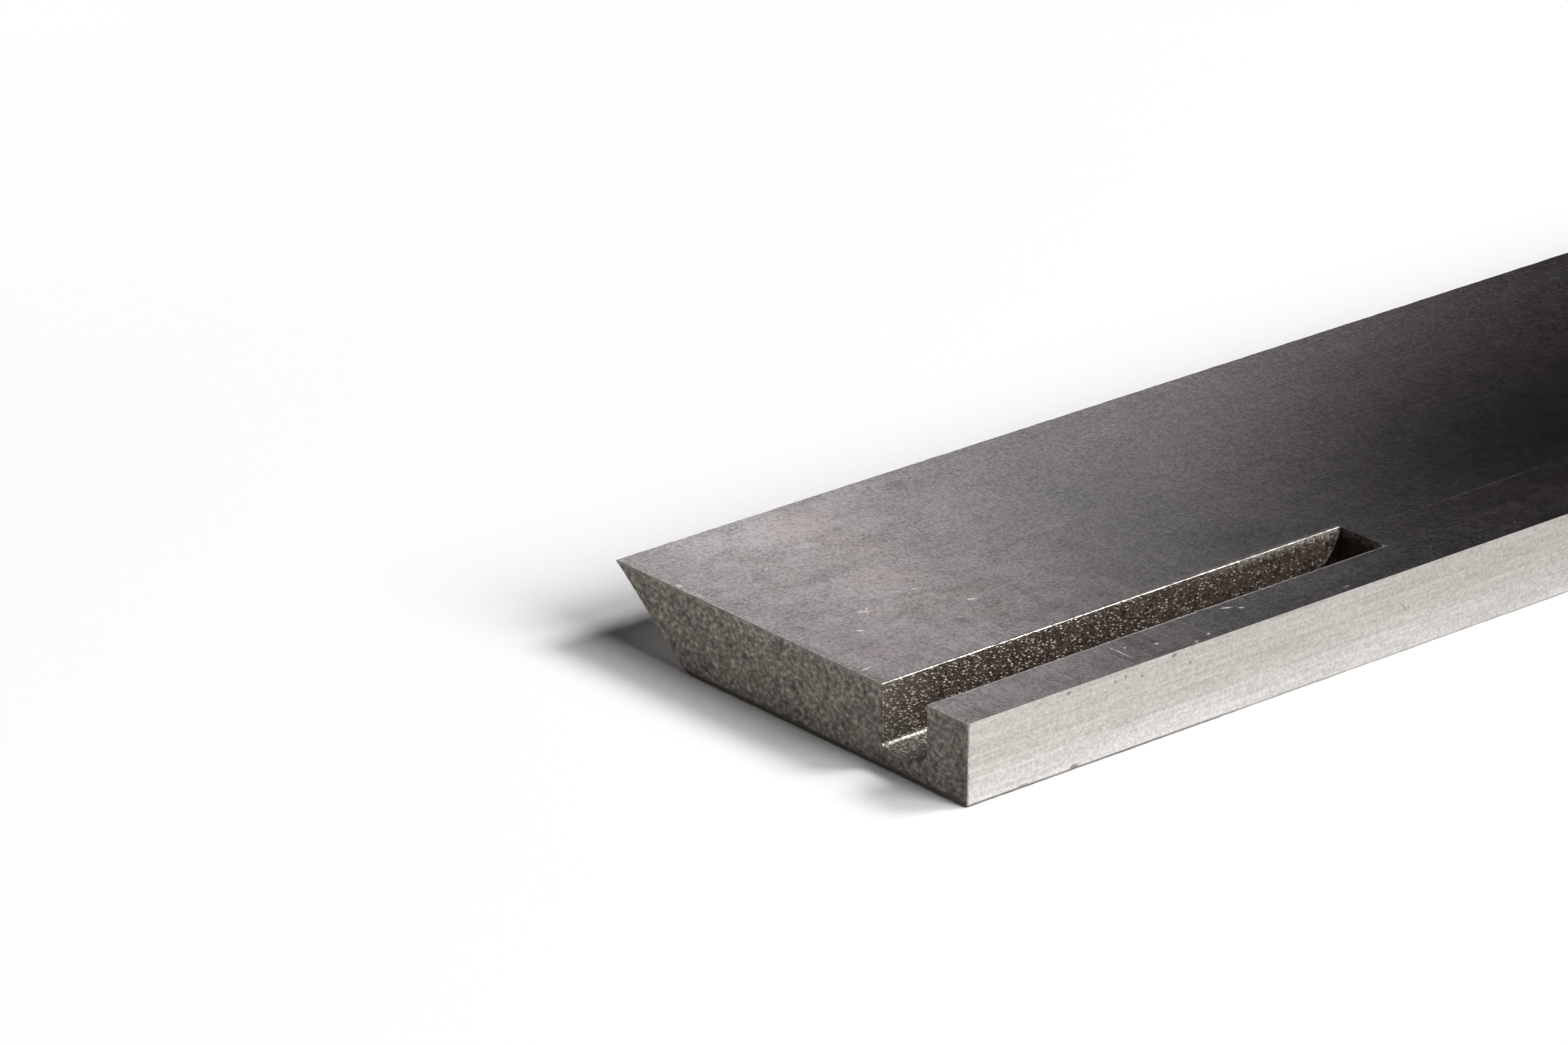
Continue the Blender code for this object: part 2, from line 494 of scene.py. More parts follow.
# Scattered specks, one in each cell of that share of the cells: a ball of its own size about the
# cell's point. Stretch is in cells per metre along each axis, Size a part of a cell
def makeFlecks():
    inputs = {"Stretch": (3000, 3000, 3000), "Shift": 0.0, "Share": 0.5, "Size": 0.45}
    group, given = newGroup("steel_flecks", "Mask", Vector=(0, 0, 0), **inputs)
    place = stretchedPlace(given)
    cells = fed("ShaderNodeTexVoronoi", Vector=place, Scale=1.0, Randomness=1.0)
    chance = splitAxes(cells["Color"])
    held = maths("LESS_THAN", chance["X"], given["Share"])
    reach = product(given["Size"], remap(chance["Y"], 0.0, 1.0, 0.45, 1.0))
    ball = remap(cells["Distance"], reach, product(reach, 0.3), smooth=True)
    mask = product(ball, held, remap(chance["Z"], 0.0, 1.0, 0.4, 1.0))
    put(group, "NodeGroupOutput", Mask=mask)
    return group


# Full at a corner, gone at Width from it, with an uneven limit. Gap is the distance
def makeEdgeWear():
    inputs = {"Gap": 0.001, "Width": 0.0002, "Breakup": 4000.0}
    group, given = newGroup("edge_wear", "Mask", Vector=(0, 0, 0), **inputs)
    parts = {"Vector": given["Vector"], "Scale": given["Breakup"], "Detail": 3.0, "Roughness": 0.6}
    noise = fed("ShaderNodeTexNoise", **parts)["Fac"]
    reach = product(given["Width"], remap(noise, 0.3, 0.7, 0.4, 1.5))
    mask = remap(given["Gap"], reach, product(reach, 0.35), smooth=True)
    put(group, "NodeGroupOutput", Mask=mask)
    return group


# A soft ellipsoid about Place, turned by Turn: 1 in its core, 0 at its rim
def makeSpot():
    inputs = {"Place": (0, 0, 0), "Turn": (0, 0, 0), "Size": (0.001, 0.001, 0.001), "Core": 0.4}
    group, given = newGroup("placed_mark", "Mask", Vector=(0, 0, 0), **inputs)
    parts = {"Vector": given["Vector"], "Location": given["Place"], "Scale": given["Size"]}
    parts["Rotation"] = given["Turn"]
    mapped = fed("ShaderNodeMapping", vector_type="TEXTURE", **parts)[0]
    length = vectorMaths("LENGTH", mapped)["Value"]
    put(group, "NodeGroupOutput", Mask=remap(length, 1.0, given["Core"], smooth=True))
    return group


grainGroup, fleckGroup, wearGroup, spotGroup = makeGrain(), makeFlecks(), makeEdgeWear(), makeSpot()


def newMaterial(name):
    material = bpy.data.materials.new(name)
    material.use_nodes = True
    material.node_tree.nodes.clear()
    return material, material.node_tree


# A material with the Object coordinates and the distances kept on the mesh. Ramp carries a
# value along one of the look's ramps, tint blends in one of its colours.
def startMaterial(name, look):
    material, tree = newMaterial(name)
    place = put(tree, "ShaderNodeTexCoord").outputs["Object"]
    gaps = {
        label: put(tree, "ShaderNodeAttribute", attribute_name=label).outputs["Fac"]
        for label in ("endGap", "lipGap", "rootGap", "rimGap")
    }

    def ramp(value, key, smooth=False):
        return remap(value, *look[key], smooth=smooth)

    def tint(colour, amount, key):
        return blendColour(amount, colour, look[key])

    return material, place, gaps, ramp, tint


# The Principled shader, with a bump of that rise in metres from a height of 0 to 1
def endMaterial(material, colour, roughness, height, rise, metallic=1.0, gloss=0.5):
    tree = material.node_tree
    bump = put(tree, "ShaderNodeBump", Strength=1.0, Distance=rise, Height=height)
    values = {"Base Color": colour, "Roughness": roughness, "Metallic": metallic}
    values.update({"Specular IOR Level": gloss, "Normal": bump.outputs[0]})
    shader = put(tree, "ShaderNodeBsdfPrincipled", **values)
    put(tree, "ShaderNodeOutputMaterial", Surface=shader.outputs[0])
    return material


# Every noise that a look lists as (cycles per metre along each axis, detail, shift, wander),
# where the last two may be left out
def noises(place, look):
    labels = "Stretch", "Detail", "Shift", "Wander"
    given = [dict(zip(labels, values)) for values in look["noises"].values()]
    return [useGroup(grainGroup, Vector=place, **values) for values in given]


markDepth = 0.001  # how far a mark reaches off its surface


# The strongest of several marks, each (from the near end, across, length, width in millimetres,
# turn in degrees, strength). Across goes from the back edge over the slotted face, or up a wall
# that stands at that y. Soft makes all of them that much larger.
def marks(place, places, core, wall=None, soft=1.0):
    mask = 0.0
    for along, across, length, width, turn, strength in places:
        x = -halfLength + along / 1000
        long, wide, angle = soft * length / 2000, soft * width / 2000, math.radians(turn)
        if wall is None:
            shape = {"Place": (x, backY + across / 1000, thickness), "Turn": (0, 0, angle)}
            shape["Size"] = (long, wide, markDepth)
        else:
            shape = {"Place": (x, wall, across / 1000), "Turn": (0, -angle, 0)}
            shape["Size"] = (long, markDepth, wide)
        spot = useGroup(spotGroup, Vector=place, Core=core, **shape)
        mask = most(mask, product(spot, strength))
    return mask


# In each look below, a value of two or four numbers is a ramp for remap, unless its note says
# what is added. Ramps along a distance are in metres, as are the tones' places: from the knife's
# end, and in the ends' look from the back.

# The slotted face: satin ground steel, mottled and stained near the end, with painted reflection and
# painted shade
faceLook = {
    "colour": (0.600, 0.552, 0.556),
    "pink": (0.69, 0.558, 0.558),
    "bright": (0.72, 0.665, 0.665),
    "olive": (0.60, 0.575, 0.52),
    "cool": (0.50, 0.475, 0.55),
    "far": (0.60, 0.492, 0.575),
    "dark": (0.33, 0.31, 0.335),
    # painted dark reflection
    "reflectionDark": (0.24, 0.215, 0.25),
    "scratch": (0.98, 0.95, 0.93),
    "roughness": (0.05, 0.225),  # what the mottle adds, and the least
    # painted reflection: the face's level along the knife, lightest a few millimetres from the end
    "tones": [
        (0.0, 1.03), (0.003, 1.25), (0.006, 1.40), (0.009, 1.17), (0.013, 1.02), (0.018, 0.94),
        (0.024, 1.02), (0.032, 1.0),
    ],
    "noises": {
        "grain": ((9000, 9000, 9000), 2),
        "farGrain": ((5600, 6400, 6400), 2, 13),
        "mottle": ((1000, 1150, 1000), 4, 0, 0.5),
        "clouds": ((280, 330, 300), 4, 21, 0.8),
        "crossLay": ((4200, 150, 150), 2, 7),
        "longLay": ((50, 2600, 50), 2, 3),
    },
    "grain": 0.75,
    "mottle": 0.36,
    "clouds": 0.30,
    "crossLay": 0.26,
    "longLay": 0.10,
    "farGrainFrom": (0.006, 0.030, 0.12, 0.45),
    "nearEnd": (0.017, 0.007, 0.22, 1.0),
    "strokeEnd": (0.0185, 0.013, 0.12, 1.0),  # how far in the crosswise strokes run
    "strokeSide": (0.0055, 0.001, 0.0, 1.0),  # and how far from the slot
    "pinkClouds": (0.0, 0.6, 0.35, 1.0),
    "oliveClouds": (0.45, 0.0, 0.0, 0.6),
    "coolFrom": (0.008, 0.016),
    "coolClouds": (0.75, 0.2, 0.0, 0.4),
    "farFrom": (0.018, 0.034, 0.0, 0.85),
    "farFade": (0.048, 0.080, 1.0, 0.35),
    "darkMottle": (1.0, 0.25),
    "rim": (0.0005, 0.0001, 0.0, 0.16),
    "reflectionDarkSide": (backY + 0.0030, backY + 0.0062, 0.5, 1.0),  # it thins out towards the back edge
    "wear": {"Width": 0.00026, "Breakup": 4000},
    "wornFrom": (0.0105, 0.0155, 0.0, 0.38),
    "wornTo": (0.016, 0.020, 1.0, 1.0),
    "wornSide": (farY - 0.0002, farY + 0.00005, 0.0, 1.0),
    "wornBare": 0.2,
    "nickBare": 0.8,
    "nickCore": 0.25,
    "nickGrain": (0.0, 0.6, 0.45, 1.0),
    "nickRoughness": 0.35,
    "nickRise": -5.0,
    "layRise": 0.8,
    "bump": 0.0000012,
    "nicks": [
        (3.7, 9.7, 0.65, 0.15, -30, 1.0), (3.95, 9.85, 0.25, 0.16, 30, 0.8),
        (6.5, 10.1, 0.6, 0.12, -28, 0.85), (2.5, 8.5, 0.5, 0.14, -40, 0.9),
        (7.4, 8.1, 0.55, 0.15, -25, 0.95), (0.5, 16.6, 0.12, 1.6, 8, 0.22),
        (0.35, 12.8, 0.10, 2.4, 3, 0.16), (0.6, 10.8, 0.10, 2.0, -5, 0.14),
        (0.5, 8.2, 0.12, 1.8, 0, 0.16), (1.3, 15.2, 0.09, 1.9, 14, 0.12),
        (0.45, 5.85, 0.8, 0.10, 5, 0.9), (3.6, 14.9, 0.5, 0.12, 35, 0.5),
        (5.8, 10.3, 0.5, 0.10, -45, 0.5), (0.2, 15.7, 0.3, 0.55, 0, 0.5),
        (0.15, 14.6, 0.2, 1.4, 0, 0.4), (1.0, 13.1, 0.5, 0.10, -50, 0.5),
        (9.3, 12.3, 0.35, 0.10, -35, 0.4), (28.6, 3.86, 15.0, 0.12, 0, 0.07),
    ],
    "pinkSpots": [
        (6.8, 17.2, 6.5, 4.5, 0, 0.8), (7.2, 14.5, 4.5, 6.0, 10, 0.8),
        (6.3, 11.6, 5.5, 4.2, -20, 0.9), (4.8, 9.0, 6.0, 3.6, -30, 0.7),
        (1.8, 6.6, 5.0, 4.0, 0, 0.5), (6.0, 6.6, 3.6, 3.0, 0, 0.6),
    ],
    # painted reflection: lighter patches
    "brightSpots": [
        (3.6, 17.9, 5.5, 3.4, 0, 0.8), (10.8, 18.4, 6.5, 3.0, 0, 0.9), (0.9, 5.8, 3.0, 3.0, 0, 0.8),
        (1.6, 4.7, 5.0, 1.8, 0, 1.0), (6.5, 4.6, 8.0, 1.2, 0, 0.5), (4.8, 5.6, 3.2, 2.6, 0, 0.4),
        (4.5, 9.3, 2.4, 1.4, -30, 0.25), (46.0, 17.5, 12.0, 4.0, 0, 0.5),
    ],
    # painted reflection: a large dark patch further along the face, thinning out towards the back edge
    "reflectionDarkPatches": [(34.0, 6.0, 36.0, 26.0, 12, 1.0), (19.0, 6.0, 9.0, 5.0, 0, 0.3)],
    "darkSpots": [
        (12.4, 17.8, 1.8, 1.2, 40, 0.75), (5.4, 15.4, 1.8, 1.2, 0, 0.6),
        (4.7, 13.3, 3.2, 1.8, 15, 0.6), (6.0, 6.7, 1.8, 1.4, -35, 0.75),
        (3.6, 8.0, 1.0, 0.7, 0, 0.4), (5.0, 8.6, 1.5, 1.2, 0, 0.3), (1.6, 6.4, 1.2, 0.8, 40, 0.3),
        (2.4, 10.6, 2.2, 1.0, -30, 0.3), (1.2, 17.0, 1.6, 1.0, 0, 0.3),
        (8.8, 16.5, 1.2, 1.6, 20, 0.25),
    ],
}

# The rail beside the slot: the same steel, less mottled, with nicks of its own and painted reflection of
# its own along it
railLook = dict(
    faceLook,
    # painted reflection: the rail's level along the knife
    tones=[
        (0.0, 1.34), (0.003, 1.33), (0.006, 1.55), (0.009, 1.13), (0.013, 1.10), (0.018, 1.22),
        (0.024, 1.10), (0.032, 1.0),
    ],
    strokeSide=(0.0055, 0.001, 1.0, 1.0),
    rim=(0.0005, 0.0001, 0.0, 0.0),
    wear={"Width": 0.00012, "Breakup": 4000},
    wornFrom=(0.002, 0.010, 0.35, 1.0),
    wornTo=(0.016, 0.020, 1.0, 0.6),
    wornSide=(0.0, 1.0, 1.0, 1.0),
    wornBare=0.26,
    nickBare=1.0,
    mottle=0.30,
    clouds=0.36,
    crossLay=0.30,
    nicks=[
        (13.8, 1.68, 0.55, 0.17, -25, 0.9), (14.2, 1.35, 0.30, 0.13, -32, 0.7),
        (9.7, 0.93, 0.22, 0.18, 0, 0.75), (8.6, 1.39, 0.2, 0.14, 0, 0.5),
        (11.7, 0.41, 0.22, 0.16, 20, 0.7), (10.9, 0.16, 0.36, 0.22, 40, 0.25),
        (9.43, 2.16, 0.5, 0.16, 0, 0.45), (8.2, 1.25, 0.10, 1.9, 0, 0.45),
        (7.8, 0.9, 0.06, 1.6, 0, 0.14), (5.3, 0.8, 0.08, 1.6, 4, 0.14),
        (18.4, 0.35, 0.5, 0.2, 10, 0.2),
    ],
    pinkSpots=[(3.0, 1.0, 5.0, 3.0, 0, 0.4)],
    # painted reflection: lighter streaks
    brightSpots=[
        (19.0, 1.3, 6.0, 1.6, 4, 0.5), (26.6, 0.45, 3.2, 0.8, 4, 0.6),
        (29.5, 0.7, 4.2, 1.0, -3, 0.5),
    ],
    darkSpots=[
        (21.5, 0.55, 5.0, 0.55, 6, 0.5), (17.6, 0.6, 3.2, 0.4, -5, 0.35),
        (24.8, 0.95, 2.8, 0.5, 12, 0.45), (6.6, 0.5, 1.6, 0.6, 0, 0.25),
    ],
    reflectionDarkPatches=[],
)


def makeFaceMaterial(name, look):
    material, place, gaps, ramp, tint = startMaterial(name, look)
    grain, farGrain, mottle, clouds, crossLay, longLay = noises(place, look)
    fromEnd, across = gaps["endGap"], splitAxes(place)["Y"]
    nearEnd = ramp(fromEnd, "nearEnd", smooth=True)
    crossed = ramp(gaps["lipGap"], "strokeSide", smooth=True)
    crossed = product(crossed, ramp(fromEnd, "strokeEnd", smooth=True))

    # Stains and tints, then painted light: patches of painted reflection, painted shade along the edges and
    # a large dark patch of painted reflection, from the faintest to the darkest
    pink = product(marks(place, look["pinkSpots"], 0.0), ramp(clouds, "pinkClouds"))
    olive = product(nearEnd, ramp(clouds, "oliveClouds"))
    cool = product(ramp(fromEnd, "coolFrom", smooth=True), ramp(clouds, "coolClouds"))
    far = product(ramp(fromEnd, "farFrom"), ramp(fromEnd, "farFade", smooth=True))
    # painted reflection: lighter patches
    bright = marks(place, look["brightSpots"], 0.0)
    dark = product(marks(place, look["darkSpots"], 0.0), ramp(mottle, "darkMottle"))
    # painted shade: a dark line along the cutting edge and the back edge near the end
    rim = product(nearEnd, ramp(gaps["rimGap"], "rim", smooth=True))
    reflectionDarkPatches = product(ramp(across, "reflectionDarkSide", smooth=True), marks(place, look["reflectionDarkPatches"], 0.0))
    colour = look["colour"]
    for amount, key in (
        (pink, "pink"), (olive, "olive"), (cool, "cool"), (far, "far"),
        (bright, "bright"), (dark, "dark"), (rim, "dark"), (reflectionDarkPatches, "reflectionDark"),
    ):
        colour = tint(colour, amount, key)

    # Painted reflection along the knife from the tones, light and dark grain, then the worn edges and the
    # nicks
    colour = scaled(colour, levelAlong(fromEnd, look["tones"]))
    terms = [
        (grain, look["grain"]),
        (farGrain, ramp(fromEnd, "farGrainFrom")),
        (longLay, look["longLay"]),
        (mottle, product(nearEnd, look["mottle"])),
        (clouds, product(nearEnd, look["clouds"])),
        (crossLay, product(crossed, look["crossLay"])),
    ]
    colour = toned(colour, terms)
    worn = useGroup(wearGroup, Vector=place, Gap=gaps["lipGap"], **look["wear"])
    worn = product(worn, ramp(fromEnd, "wornFrom"), ramp(fromEnd, "wornTo"), ramp(across, "wornSide"))
    nicks = marks(place, look["nicks"], look["nickCore"])
    nicks = product(nicks, ramp(grain, "nickGrain"))
    colour = tint(colour, most(worn, nicks), "scratch")
    bare = most(product(worn, look["wornBare"]), product(nicks, look["nickBare"]))

    rough = timesPlus(nicks, look["nickRoughness"], timesPlus(mottle, *look["roughness"]))
    height = timesPlus(product(crossLay, crossed), look["layRise"], grain)
    height = timesPlus(nicks, look["nickRise"], height)
    return endMaterial(material, colour, rough, height, look["bump"], metallic=maths("SUBTRACT", 1.0, bare))


# The back edge: bright, with fine lengthwise streaks and a few specks; painted reflection lightens it low
# down, painted shade darkens its foot and the corner beside the end
backLook = {
    "colour": (0.583, 0.556, 0.517),
    # painted reflection, low down
    "low": (0.645, 0.625, 0.600),
    "tones": [(0.0, 1.0), (0.009, 0.94), (0.027, 0.83), (0.050, 0.79)],
    "speck": (0.20, 0.185, 0.16),
    # painted shade at the foot
    "foot": (0.15, 0.14, 0.133),
    "roughness": (0.08, 0.32),  # what the streaks add, and the least
    "noises": {
        "streaks": ((230, 5500, 8000), 3),
        "broad": ((150, 900, 1300), 3, 5),
        "grain": ((9500, 9500, 10500), 2),
    },
    "streaks": 0.28,
    "broad": 0.09,
    "grain": 0.40,
    "lowFrom": (0.0018, 0.0006),
    "flecks": {"Stretch": (1800, 1800, 1800), "Shift": 9, "Share": 0.12, "Size": 0.13},
    "fleckDark": 0.55,
    "footHeight": (0.00013, 0.00006),
    "footBroad": (0.1, 0.6, 0.4, 1.0),
    "footFrom": (0.009, 0.020, 1.0, 0.3),
    "rim": {"Width": 0.0001, "Breakup": 7000},
    "rimDark": 0.7,
    "streakRise": 1.5,
    "bump": 0.0000008,
    "speckCore": 0.3,
    "speckSoft": 4 / 3,
    "specks": [
        (4.69, 3.0, 0.24, 0.14, 10, 0.8), (6.88, 2.82, 0.18, 0.12, 0, 0.7),
        (7.38, 2.87, 0.20, 0.12, 0, 0.7), (8.16, 2.69, 0.16, 0.14, 0, 0.8),
        (9.68, 3.04, 0.30, 0.13, 8, 0.9), (10.47, 2.55, 0.16, 0.13, 0, 0.8),
        (4.99, 0.14, 0.42, 0.18, 0, 0.9), (2.6, 0.12, 0.5, 0.12, 0, 0.6),
        (21.0, 1.78, 0.08, 0.55, 40, 0.5), (21.25, 1.70, 0.08, 0.35, 38, 0.4),
        (12.2, 2.35, 3.5, 0.06, 0, 0.22), (6.3, 1.35, 4.5, 0.06, 0, 0.20),
        (16.5, 1.15, 5.5, 0.06, 0, 0.18),
    ],
}


def makeBackMaterial():
    look = backLook
    material, place, gaps, ramp, tint = startMaterial("back_edge_steel", look)
    streaks, broad, grain = noises(place, look)
    height = splitAxes(place)["Z"]
    # painted reflection: lighter low down
    colour = tint(look["colour"], ramp(height, "lowFrom"), "low")
    colour = scaled(colour, levelAlong(gaps["endGap"], look["tones"]))
    terms = [(streaks, look["streaks"]), (broad, look["broad"]), (grain, look["grain"])]
    colour = toned(colour, terms)
    flecks = product(useGroup(fleckGroup, Vector=place, **look["flecks"]), look["fleckDark"])
    specks = marks(place, look["specks"], look["speckCore"], backY, look["speckSoft"])
    colour = tint(colour, most(flecks, specks), "speck")
    # painted shade: a dark foot, and a dark line along the corner beside the end
    fades = ramp(broad, "footBroad"), ramp(gaps["endGap"], "footFrom")
    foot = product(ramp(height, "footHeight", smooth=True), *fades)
    rim = useGroup(wearGroup, Vector=place, Gap=gaps["endGap"], **look["rim"])
    foot = most(foot, product(rim, look["rimDark"]))
    colour = tint(colour, foot, "foot")
    bumps = timesPlus(streaks, look["streakRise"], grain)
    return endMaterial(material, colour, timesPlus(streaks, *look["roughness"]), bumps, look["bump"])


# The ends: dull, granular and unground, with painted shade darkening their foot
endLook = {
    "colour": (0.245, 0.213, 0.179),
    "pale": (0.46, 0.42, 0.36),
    "dark": (0.075, 0.064, 0.052),
    "tones": [(0.0, 0.62), (0.0014, 0.78), (0.0045, 0.82), (0.0075, 1.05), (0.0125, 1.04), (0.019, 0.90)],
    "roughness": (0.2, 0.52),  # what the grain adds, and the least
    "metallic": 0.15,
    "gloss": 0.35,
    "noises": {
        "grain": ((4500, 4500, 6000), 4),
        "coarse": ((2200, 2200, 2900), 4, 11),
        "streaks": ((900, 900, 160), 3, 4),
        "broad": ((320, 320, 300), 3, 31),
    },
    "grain": 1.5,
    "streaks": 0.06,
    "broad": 0.20,
    "paleGrain": (0.5, 1.0, 0.0, 0.55),
    "darkCoarse": (0.48, 0.05, 0.0, 0.85),
    "rim": (thickness - 0.00016, thickness - 0.00002, 0.0, 0.35),
    # painted shade along the foot
    "foot": (0.00026, 0.00012, 0.0, 0.95),
    "coarseRise": 1.2,
    "bump": 0.000010,
}


def makeEndMaterial():
    look = endLook
    material, place, _, ramp, tint = startMaterial("end_scale", look)
    grain, coarse, streaks, broad = noises(place, look)
    axes = splitAxes(place)
    height, fromBack = axes["Z"], maths("SUBTRACT", axes["Y"], backY)
    colour = tint(look["colour"], ramp(grain, "paleGrain"), "pale")
    colour = tint(colour, ramp(coarse, "darkCoarse"), "dark")
    terms = [(streaks, look["streaks"]), (broad, look["broad"]), (grain, look["grain"])]
    colour = scaled(toned(colour, terms), levelAlong(fromBack, look["tones"]))
    colour = tint(colour, ramp(height, "rim"), "pale")
    # painted shade along the foot
    colour = tint(colour, ramp(height, "foot", smooth=True), "dark")
    rough = timesPlus(grain, *look["roughness"])
    bumps = timesPlus(coarse, look["coarseRise"], grain)
    return endMaterial(material, colour, rough, bumps, look["bump"], look["metallic"], look["gloss"])


# The milled slot: dark brown, full of torn flecks of bare steel painted brighter than steel as glints,
# thinning out towards its stop. Painted shade makes the stop nearly black; painted highlights run along the
# far wall's root and the top beside the stop.
slotLook = {
    "colour": (0.072, 0.050, 0.038),
    "inner": (0.073, 0.052, 0.039),
    # bare steel flecks, painted brighter than steel as glints
    "fleck": (0.97, 0.90, 0.81),
    # painted shade: the stop is nearly black
    "stop": (0.016, 0.011, 0.008),
    "pale": (0.52, 0.49, 0.44),
    # painted highlight and painted light: the root's line and the floor beside the far wall
    "root": (0.88, 0.85, 0.79),
    "roughness": (-0.12, 0.5),  # what the flecks add, and the level beside them
    "metallic": (0.0, 1.0, 0.5, 1.0),  # from the walls to the stop
    "gloss": 0.2,
    "noises": {
        "grain": ((7500, 7500, 8500), 3),
        "broad": ((1400, 1600, 1800), 3, 8),
        "blotches": ((3300, 3600, 3800), 3, 12),
        "beads": ((4800, 4800, 4800), 2, 6),
    },
    "grain": 1.0,
    "broad": 0.5,
    "blotches": (0.8, 0.5),  # what going inward adds, and the level at the mouth
    "stopGrain": 1.2,
    "stopBlotches": 0.8,
    "inward": (0.009, 0.016),
    "mouth": (0.003, 0.0004),
    "mouthPale": 0.10,
    "stopFacing": (0.10, 0.35),  # how far the surface looks along the knife
    "floorFacing": (0.6, 0.9),  # and up
    "fleckTurn": -15.0,
    "flecks": {"Stretch": (5200, 10000, 12500), "Size": 0.52},
    "tinyFlecks": {"Stretch": (9000, 15000, 18000), "Shift": 3, "Share": 0.9, "Size": 0.55},
    "tinyShare": 0.4,
    "share": (0.5, 0.45),  # what the broad noise adds to the flecks' share, and the least
    "mouthShare": 0.35,
    "inwardShare": -0.2,
    "inwardFade": (-0.25, 1.0),  # what going inward adds to their strength, and that at the mouth
    "debris": [
        (10.9, 2.02, 0.24, 0.164, -20, 0.8), (13.1, 1.92, 0.15, 0.102, -20, 0.8),
        (4.6, 2.3, 0.12, 0.082, -20, 0.8), (6.3, 2.05, 0.14, 0.095, -20, 0.8),
    ],
    "debrisCore": 0.2,
    "debrisSoft": 4 / 3,
    "floorSide": (farY - 0.0016, farY - 0.0004),
    "floorFrom": (0.004, 0.012, 1.0, 0.3),
    # painted light: a pale speckled band on the floor beside the far wall
    "litFloorSpeckles": {"Stretch": (5000, 5000, 5000), "Shift": 5, "Share": 1, "Size": 0.55},
    "litFloorShare": 2.0,
    "litFloorGrain": (0.4, 0.9, 0.0, 0.5),
    "rootHighlight": {"Width": 0.00016, "Breakup": 9000},
    "rootBeads": (0.25, 0.6, 0.05, 1.0),
    "rootFrom": (0.004, 0.014, 1.0, 0.22),
    "rimWear": {"Width": 0.0002, "Breakup": 9000},
    "rimBeads": (0.4, 0.8, 0.0, 0.5),
    # painted highlight along the top edges beside the stop
    "topHighlight": {"Width": 0.00036, "Breakup": 5500},
    "topFrom": (0.014, 0.0205, 0.05, 0.85),
    "topBeads": (0.2, 0.7, 0.15, 1.0),
    "topOff": (0.0, 1.0, 1.0, 0.1),
    "fleckRise": 1.5,
    "bump": 0.000010,
}


def makeSlotMaterial():
    look = slotLook
    material, place, gaps, ramp, tint = startMaterial("milled_slot", look)
    fromEnd = gaps["endGap"]
    grain, broad, blotches, beads = noises(place, look)
    angle = math.radians(look["fleckTurn"])
    leaning = fed("ShaderNodeVectorRotate", place, rotation_type="Y_AXIS", Angle=angle)[0]
    inward = ramp(fromEnd, "inward", smooth=True)
    mouth = ramp(fromEnd, "mouth")
    facing = splitAxes(put(material.node_tree, "ShaderNodeNewGeometry").outputs["Normal"])
    onStop = ramp(maths("ABSOLUTE", facing["X"]), "stopFacing")
    onFloor = ramp(facing["Z"], "floorFacing")

    colour = tint(look["colour"], inward, "inner")
    blotched = timesPlus(inward, *look["blotches"])
    colour = toned(colour, [(grain, look["grain"]), (broad, look["broad"]), (blotches, blotched)])
    colour = tint(colour, product(mouth, look["mouthPale"]), "pale")
    share = timesPlus(mouth, look["mouthShare"], timesPlus(broad, *look["share"]))
    share = timesPlus(inward, look["inwardShare"], share)
    flecks = useGroup(fleckGroup, Vector=leaning, Share=share, **look["flecks"])
    tiny = useGroup(fleckGroup, Vector=leaning, **look["tinyFlecks"])
    specks = timesPlus(tiny, look["tinyShare"], flecks, clamp=True)
    specks = product(specks, timesPlus(inward, *look["inwardFade"]))
    # flecks of bare steel, painted brighter than steel as glints
    colour = tint(colour, specks, "fleck")
    debris = marks(place, look["debris"], look["debrisCore"], farY, look["debrisSoft"])
    colour = tint(colour, debris, "pale")
    # painted shade: the stop nearly black
    stop = toned(look["stop"], [(grain, look["stopGrain"]), (blotches, look["stopBlotches"])])
    colour = blendColour(onStop, colour, stop)

    # The pale places: painted light on the floor beside the far wall, painted highlights along the root and
    # along the top by the stop, and the slot's own rim
    litFloorSpeckles = useGroup(fleckGroup, Vector=place, **look["litFloorSpeckles"])
    litFloorSpeckles = timesPlus(litFloorSpeckles, look["litFloorShare"], ramp(grain, "litFloorGrain"), clamp=True)
    floorSide = ramp(splitAxes(place)["Y"], "floorSide", smooth=True)
    litFloorSpeckles = product(litFloorSpeckles, onFloor, floorSide, ramp(fromEnd, "floorFrom"))
    colour = tint(colour, litFloorSpeckles, "root")
    for wear, key, gap, fades in (
        ("rootHighlight", "root", "rootGap", [(beads, "rootBeads"), (fromEnd, "rootFrom")]),
        ("rimWear", "pale", "endGap", [(beads, "rimBeads")]),
        ("topHighlight", "pale", "lipGap", [(beads, "topBeads"), (fromEnd, "topFrom"), (onStop, "topOff")]),
    ):
        mask = useGroup(wearGroup, Vector=place, Gap=gaps[gap], **look[wear])
        mask = product(mask, *(ramp(value, name) for value, name in fades))
        colour = tint(colour, mask, key)

    rough = timesPlus(specks, *look["roughness"])
    height = timesPlus(specks, look["fleckRise"], grain)
    metallic = ramp(onStop, "metallic")
    return endMaterial(material, colour, rough, height, look["bump"], metallic, look["gloss"])


